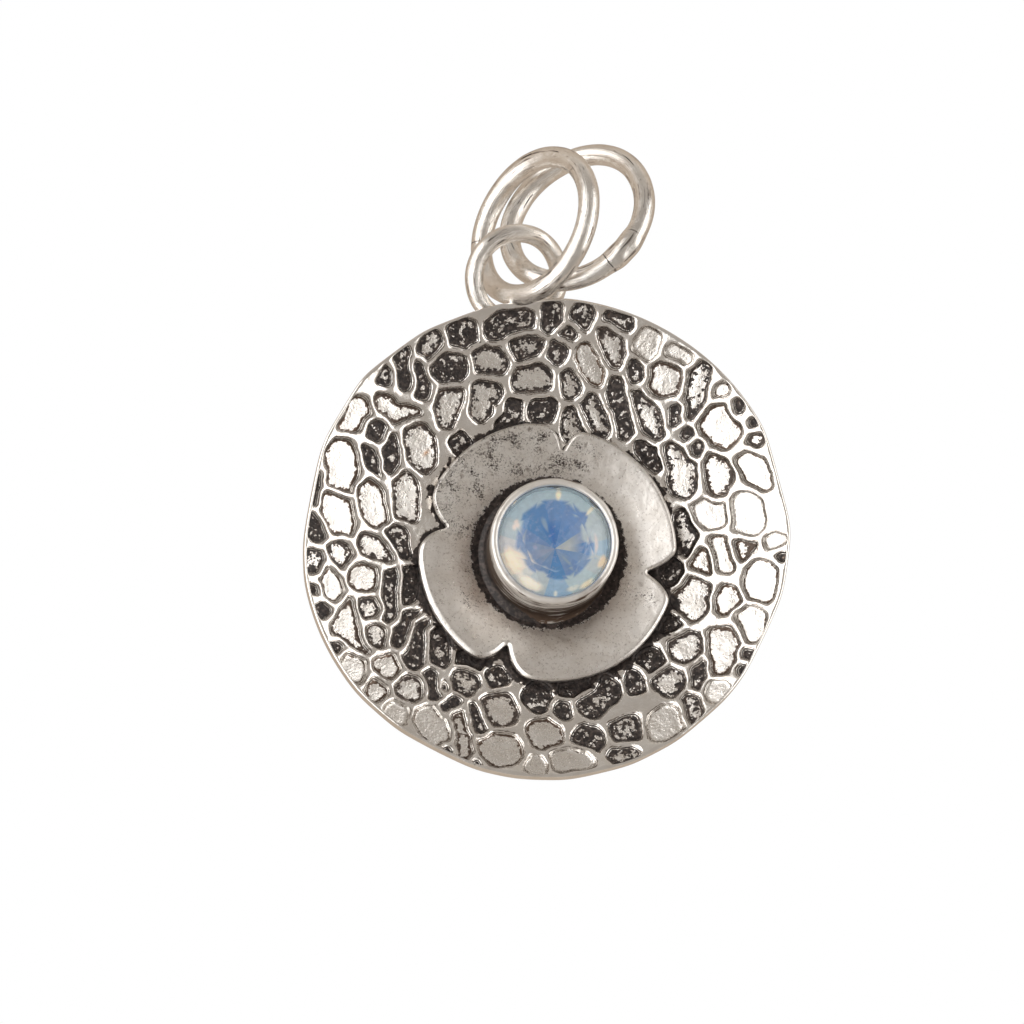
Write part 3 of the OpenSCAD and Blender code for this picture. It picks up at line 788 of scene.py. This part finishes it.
def blue_reach(angle):
    """How far the blue middle reaches at an angle from +Y. The stone bends light, so on the heart
    it is a little smaller than it is seen, and set off."""
    narrower, across, upper, lower = 0.84, 0.09, 0.95, 0.82
    way = Vector((math.sin(angle), math.cos(angle)))
    edge = [(x * narrower + across, y * (upper if y > 0 else lower)) for x, y in BLUE_EDGE]
    for start, end in zip(edge, edge[1:] + edge[:1]):
        start, along = Vector(start), Vector(end) - Vector(start)
        cross = way.x * along.y - way.y * along.x
        if abs(cross) > 1e-9:
            reach = (start.x * along.y - start.y * along.x) / cross
            part = (start.x * way.y - start.y * way.x) / cross
            if reach > 0 and 0 <= part <= 1:
                return reach
    return 1.7


def stone_colour_and_reflections(x, y):
    """The stone's colour at a place about its axis: partly its own, and partly painted reflections
    and highlights of its facets.
    """
    turn = math.atan2(x, y)
    first = WEDGES[0][0]
    angle = (math.degrees(turn) - first) % 360 + first
    radius = math.hypot(x, y)
    near, table, outer = [w for w in WEDGES if w[0] <= angle][-1][1:]
    farther = share(radius, 0.75, 0.7)
    made = near * (1 - farther) + table * farther
    beyond = share(radius, blue_reach(turn), 0.2)
    made = made * (1 - beyond) + outer * beyond
    for at, reach, half_turn, half_reach, flash in FLASHES:
        off = abs((angle - at + 180) % 360 - 180) / half_turn
        far = math.hypot(off, (radius - reach) / half_reach)
        amount = 1 - share(far, 0.65, 0.8)
        made = made * (1 - amount) + flash * amount
    return made * (1 + 0.12 * noise.noise(Vector((x, y, 5)) * 4))


def make_shell(material):
    """The stone's clear shell, with the facets of its node and barely worn edges."""
    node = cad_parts["opal"]
    deselect()
    shell = bpy.data.objects.new("opal_shell", node.data.copy())
    bpy.context.collection.objects.link(shell)
    shell.data.transform(Matrix.Scale(1 / MM, 4) @ node.matrix_world)
    bpy.context.view_layer.objects.active = shell
    shell.select_set(True)
    bpy.ops.object.mode_set(mode="EDIT")
    bpy.ops.mesh.select_all(action="SELECT")
    bpy.ops.mesh.remove_doubles(threshold=0.001)
    bpy.ops.mesh.dissolve_limited(angle_limit=math.radians(0.6))
    bpy.ops.mesh.normals_make_consistent(inside=False)
    bpy.ops.object.mode_set(mode="OBJECT")
    worn = shell.modifiers.new("worn", "BEVEL")
    worn.width = 0.012
    worn.segments = 2
    worn.limit_method = "ANGLE"
    worn.angle_limit = math.radians(4)
    bpy.ops.object.modifier_apply(modifier="worn")
    bpy.ops.object.shade_flat()
    settle(shell, Matrix(), material, "opal", "opal")


def make_heart(material):
    """A faceted bowl just inside the back of the stone, which carries its colour and painted
    reflections of its facets. Its point is set off to one side, as the stone's middle is seen."""
    heart_r = 2.66
    thick = 0.1
    rise = math.tan(math.radians(41))
    above_point = 0.2
    set_off = 0.2
    facet = 45
    reach = np.linspace(0, heart_r, 56)
    profile = [(r, r * rise) for r in reach]
    profile += [(r, r * rise - thick) for r in reach[::-7]] + [(0, -thick)]
    piece = lathe("opal_heart", profile, 288)
    shaped = places(piece)
    paint = np.empty((len(shaped), 4))
    for k, (x, y, z) in enumerate(shaped):
        radius = math.hypot(x, y)
        turn = math.degrees(math.atan2(x, y)) % facet - facet / 2
        flat = math.cos(math.radians(turn)) * 1.02
        shaped[k, 0] = x + set_off * (1 - radius / heart_r)
        shaped[k, 2] = z + radius * rise * (flat - 1)
        paint[k] = stone_colour_and_reflections(x, y)
    shaped[:, 2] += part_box("opal")[0].z / MM + above_point
    set_places(piece, shaped)
    paint[:, 3] = 1
    made = piece.data.attributes.new("play", "FLOAT_COLOR", "POINT")
    made.data.foreach_set("color", paint.ravel())
    from_floor = Matrix.Translation((0, 0, -BEZEL_PLACE.translation.z))
    settle(piece, from_floor @ BEZEL_PLACE, material, "opal", "opal")


def new_group(name, inputs, outputs):
    """A shared effect: its tree, and the sockets inside it."""
    tree = bpy.data.node_groups.new(name, "ShaderNodeTree")
    for way, sockets in (("INPUT", inputs), ("OUTPUT", outputs)):
        for title, kind in sockets.items():
            tree.interface.new_socket(title, in_out=way, socket_type="NodeSocket" + kind)
    return tree, tree.nodes.new("NodeGroupInput").outputs, tree.nodes.new("NodeGroupOutput")


def silver_finish():
    """Hand-worked silver: cloudy tint, uneven polish, and shallow dents. Height is in mm."""
    tree, given, made = new_group("silver_finish", {"Spot": "Vector", "Polish": "Float"},
                                  {"Colour": "Color", "Roughness": "Float", "Height": "Float"})
    cloud = ramp(grain(given["Spot"], 900.0), -0.14, 0.14)
    feed(made, {"Colour": blend(cloud, colour(0.86, 0.825, 0.78), colour(0.93, 0.905, 0.87))})
    scuff = grain(given["Spot"], 3200.0, 4.0)
    feed(made, {"Roughness": most(plus(given["Polish"], scuff, 0.3), 0.08)})
    dents = times(grain(given["Spot"], 1500.0, 2.0), 0.03)
    feed(made, {"Height": plus(dents, grain(given["Spot"], 14000.0, 3.0), 0.004)})
    return tree


def dark_specks():
    """Small pits that kept their patina, in loose clusters."""
    tree, given, made = new_group("dark_specks", {"Spot": "Vector", "Amount": "Float"},
                                  {"Mask": "Float"})
    cluster = times(grain(given["Spot"], 1300.0, 2.0), 0.5)
    total = sums("ADD", cluster, grain(given["Spot"], 10500.0, 5.0, 0.8))
    needed = ramp(given["Amount"], 0.0, 1.0, 0.34, 0.07)
    feed(made, {"Mask": ramp(sums("SUBTRACT", total, needed), -0.015, 0.03)})
    return tree


def patina():
    """Dark patina over silver. Thin patina at its edges is brown."""
    tree, given, made = new_group(
        "patina", {"Colour": "Color", "Roughness": "Float", "Mask": "Float", "Spot": "Vector"},
        {"Colour": "Color", "Roughness": "Float", "Metallic": "Float"})
    thin = ramp(given["Mask"], 0.05, 0.45)
    thick = ramp(given["Mask"], 0.4, 0.8)
    stained = blend(thin, given["Colour"], colour(0.16, 0.11, 0.08))
    depth = ramp(grain(given["Spot"], 5000.0, 3.0), -0.1, 0.2)
    black = blend(depth, colour(0.022, 0.017, 0.016), colour(0.085, 0.066, 0.058))
    worn = put(tree, "MapRange", {"Value": thick, "To Min": given["Roughness"], "To Max": 0.42})
    feed(made, {"Colour": blend(thick, stained, black), "Roughness": worn.outputs[0],
                "Metallic": ramp(thick, 0, 1, 1.0, 0.25)})
    return tree


EFFECTS = {"finish": silver_finish(), "specks": dark_specks(), "patina": patina()}


def effect(tree, name, **inputs):
    """What a shared effect puts out, with a material's own values put in."""
    return put(tree, "Group", inputs, node_tree=EFFECTS[name]).outputs


def attribute(tree, name):
    """The number that each point of the piece keeps under a name."""
    return put(tree, "Attribute", attribute_name=name).outputs["Fac"]


def new_material(name):
    """A material, its tree, its shader, and the places on its piece in metres."""
    made = bpy.data.materials.new(name)
    made.use_nodes = True
    tree = made.node_tree
    return made, tree, tree.nodes["Principled BSDF"], put(tree, "TexCoord").outputs["Object"]


def silver_paint(name, mask_of, polish, relief=1.0, rust=False):
    """A silver material: the shared finish, under patina where mask_of says. mask_of also gives
    a height of its own in mm. Polish is a value, or a function that gives one."""
    made, tree, shader, spot = new_material(name)
    polish = polish(tree) if callable(polish) else polish
    finish = effect(tree, "finish", Spot=spot, Polish=polish)
    mask, height = mask_of(tree, spot)
    shown = effect(tree, "patina", Colour=finish["Colour"], Roughness=finish["Roughness"], Mask=mask,
                   Spot=spot)
    base = shown["Colour"]
    if rust:
        base = blend(attribute(tree, "rust"), base, tint(196, 136, 72))
    total = plus(height, finish["Height"], relief)
    bump = put(tree, "Bump", {"Height": total, "Strength": 1.0, "Distance": MM})
    feed(shader, {"Base Color": base, "Roughness": shown["Roughness"], "Metallic": shown["Metallic"],
                  "Normal": bump.outputs[0]})
    return made


def plate_mask(tree, spot):
    """Patina on the plate, with painted shade near the flower's edge, and the lumpy floors of its
    hollows.
    """
    into = attribute(tree, "pebble_edge")
    dark = attribute(tree, "tarnish")
    coarse = grain(spot, 2200.0, 2.0)
    fine = grain(spot, 6500.0, 4.0, 0.7)
    # A band inside each hollow's edge. In a dark one it fills the hollow, but for crumbs of silver.
    starts = ramp(plus(into, fine, 0.12), 0.055, 0.085)
    width = ramp(dark, 0.2, 0.65, 0.07, 0.3)
    width = sums("ADD", width, ramp(dark, 0.6, 1.0, 0.0, 0.9))
    width = plus(width, coarse, times(dark, 0.4))
    blotch = grain(spot, 4200.0, 3.0, 0.6)
    loose = plus(into, blotch, ramp(dark, 0.25, 0.8, 0.15, 1.6))
    ends = ramp(sums("SUBTRACT", loose, width), -0.015, 0.025, 1.0, 0.0)
    band = times(times(starts, ends), ramp(dark, 0.3, 0.75, 0.5, 1.0))
    flecks = ramp(grain(spot, 8000.0, 3.0, 0.7), 0.15, 0.21, 1.0, 0.1)
    crumbs = ramp(grain(spot, 3100.0, 3.0, 0.6), 0.04, 0.08, 1.0, 0.1)
    crumbs = most(crumbs, ramp(into, 0.2, 0.1))
    band = times(times(band, flecks), crumbs)
    # Specks on the hollows' floors
    specks = effect(tree, "specks", Spot=spot, Amount=plus(0.1, dark, 0.8))["Mask"]
    specks = times(specks, ramp(into, 0.08, 0.14))
    # Patina and painted shade cover all near the flower's edge
    from_flower = plus(attribute(tree, "from_flower"), fine, 0.5)
    shade = ramp(plus(from_flower, coarse, 1.3), -0.04, 0.04, 1.0, 0.0)
    shade = times(shade, flecks)
    # Broken lines along the ridges' sides, and scratches on their tops
    line = sums("ABSOLUTE", sums("ADD", plus(into, fine, 0.12), 0.03))
    line = times(ramp(line, 0.0, 0.04, 0.36, 0.0), ramp(coarse, -0.14, 0.02))
    worn = ramp(grain(spot, 5200.0, 5.0, 0.75), 0.14, 0.22, 0.0, 0.5)
    worn = times(worn, ramp(into, 0.03, -0.02))
    lumps = times(grain(spot, 7000.0, 3.0), ramp(dark, 0.6, 0.9, 0.035, 0.1))
    lumps = times(lumps, ramp(into, 0.0, 0.1))
    height = sums("ADD", lumps, ramp(into, 0.0, 0.06, 0.0, -0.07))
    return most(band, specks, shade, line, worn), height


def plate_polish(tree):
    """The ridges are brighter than the hollows."""
    return ramp(attribute(tree, "pebble_edge"), 0.05, 0.15, 0.19, 0.27)


def flower_mask(tree, spot):
    """A ragged dark ring round the bezel, and specks, smudges and a fine mottle on the petals."""
    amount = attribute(tree, "tarnish")
    ragged = plus(attribute(tree, "from_bezel"), grain(spot, 3000.0, 5.0, 0.8), 0.95)
    flecks = ramp(grain(spot, 9000.0, 3.0, 0.7), 0.16, 0.2, 1.0, 0.1)
    ring = times(ramp(ragged, 0.68, 0.73, 1.0, 0.0), flecks)
    specks = effect(tree, "specks", Spot=spot, Amount=amount)["Mask"]
    smudge = times(ramp(grain(spot, 1700.0, 5.0, 0.75), 0.02, 0.2), amount)
    smudge = times(smudge, 0.34)
    mottle = ramp(grain(spot, 7000.0, 4.0, 0.75), -0.04, 0.18, 0.0, 0.24)
    brushed = times(grain(spot, 24000.0, 2.0), 0.004)
    return most(ring, specks, smudge, mottle), plus(brushed, ring, -0.02)


def bezel_mask(tree, spot):
    """Patina at the bezel's foot and on the ledge inside it, and streaks round its wall."""
    height = attribute(tree, "height")
    inward = attribute(tree, "inward")
    lines = grain(stretched(spot, (260, 260, 2600)), 1.0, 4.0, 0.65)
    ragged = plus(height, grain(spot, 2600.0, 3.0), 0.45)
    foot = ramp(ragged, -0.04, 0.1, 1.0, 0.0)
    low = ramp(height, 0.2, 3.0, 0.22, 0.08)
    streaks = ramp(sums("ADD", lines, low), 0.05, 0.2, 0.0, 0.55)
    streaks = times(streaks, ramp(inward, 0.12, 0.02, 0.4, 1.0))
    return most(foot, streaks, ramp(inward, 0.4, 0.43)), times(lines, 0.02)


def wire_mask(tree, spot):
    """Fine lines drawn along the wire, dark scuffs and scores in patches, and a broken dark line
    where its ends meet."""
    along = put(tree, "UVMap").outputs[0]
    drawn = grain(stretched(along, (10, 56, 1)), 1.0, 4.0, 0.65)
    joint = plus(attribute(tree, "from_joint"), grain(spot, 3000.0), 0.3)
    cut = times(ramp(sums("ABSOLUTE", joint), 0.012, 0.035, 1.0, 0.0),
                ramp(grain(spot, 1600.0, 1.0), -0.1, 0.0))
    scuffs = sums("ADD", drawn, grain(spot, 7000.0, 3.0))
    scuffs = ramp(scuffs, 0.22, 0.3, 0.0, 0.7)
    scores = grain(stretched(along, (7, 26, 1)), 1.0, 4.0, 0.75)
    scores = times(ramp(scores, 0.06, 0.12, 0.0, 0.8),
                   ramp(grain(spot, 700.0, 2.0), -0.02, 0.06))
    return most(cut, scuffs, scores), times(drawn, 0.018)


def bare_mask(tree, spot):
    """A few stains on the solder."""
    return ramp(grain(spot, 6000.0, 4.0), 0.2, 0.26, 0.0, 0.5), 0.0


def clear_stone():
    """Faintly milky, polished stone."""
    made, _, shader, spot = new_material("clear_stone")
    cloud = ramp(grain(spot, 1400.0, 3.0), -0.15, 0.15)
    base = blend(cloud, colour(0.93, 0.945, 0.955), colour(0.97, 0.975, 0.97))
    feed(shader, {"Base Color": base, "Transmission Weight": 0.93, "IOR": 1.45, "Roughness": 0.03})
    return made


def opal_colour_and_glow():
    """The stone's colours with pale wisps over them. They give off a little painted glow, standing
    in for light scattered in the stone.
    """
    made, tree, shader, spot = new_material("opal_colour_and_glow")
    own = put(tree, "Attribute", attribute_name="play").outputs["Color"]
    wisp = ramp(grain(spot, 3000.0, 5.0, 0.75), 0.02, 0.2, 0.0, 0.32)
    shown = blend(wisp, own, tint(176, 178, 196))
    # Painted glow: the colours give off light of their own.
    feed(shader, {"Base Color": shown, "Emission Color": shown, "Emission Strength": 0.5,
                  "Roughness": 0.6, "Specular IOR Level": 0.0})
    return made


stage_camera()
studio_light()
floor()
wire = silver_paint("drawn_silver", wire_mask, 0.16, 0.3)
make_plate(silver_paint("patina_silver", plate_mask, plate_polish, 0.9, rust=True))
make_flower(silver_paint("satin_silver", flower_mask, 0.32, 0.8))
make_bezel(silver_paint("bezel_silver", bezel_mask, 0.47, 0.6))
make_loop(wire)
make_drops(silver_paint("solder_silver", bare_mask, 0.24))
make_jump_ring("front_ring", "ring_front", 51.1, -15.7, wire, seed=1, joint=198)
make_jump_ring("rear_ring", "ring_rear", 38.5, -38.7, wire, seed=2, joint=11, lump=0.16,
               bulge=(115, 0.2))
make_shell(clear_stone())
make_heart(opal_colour_and_glow())
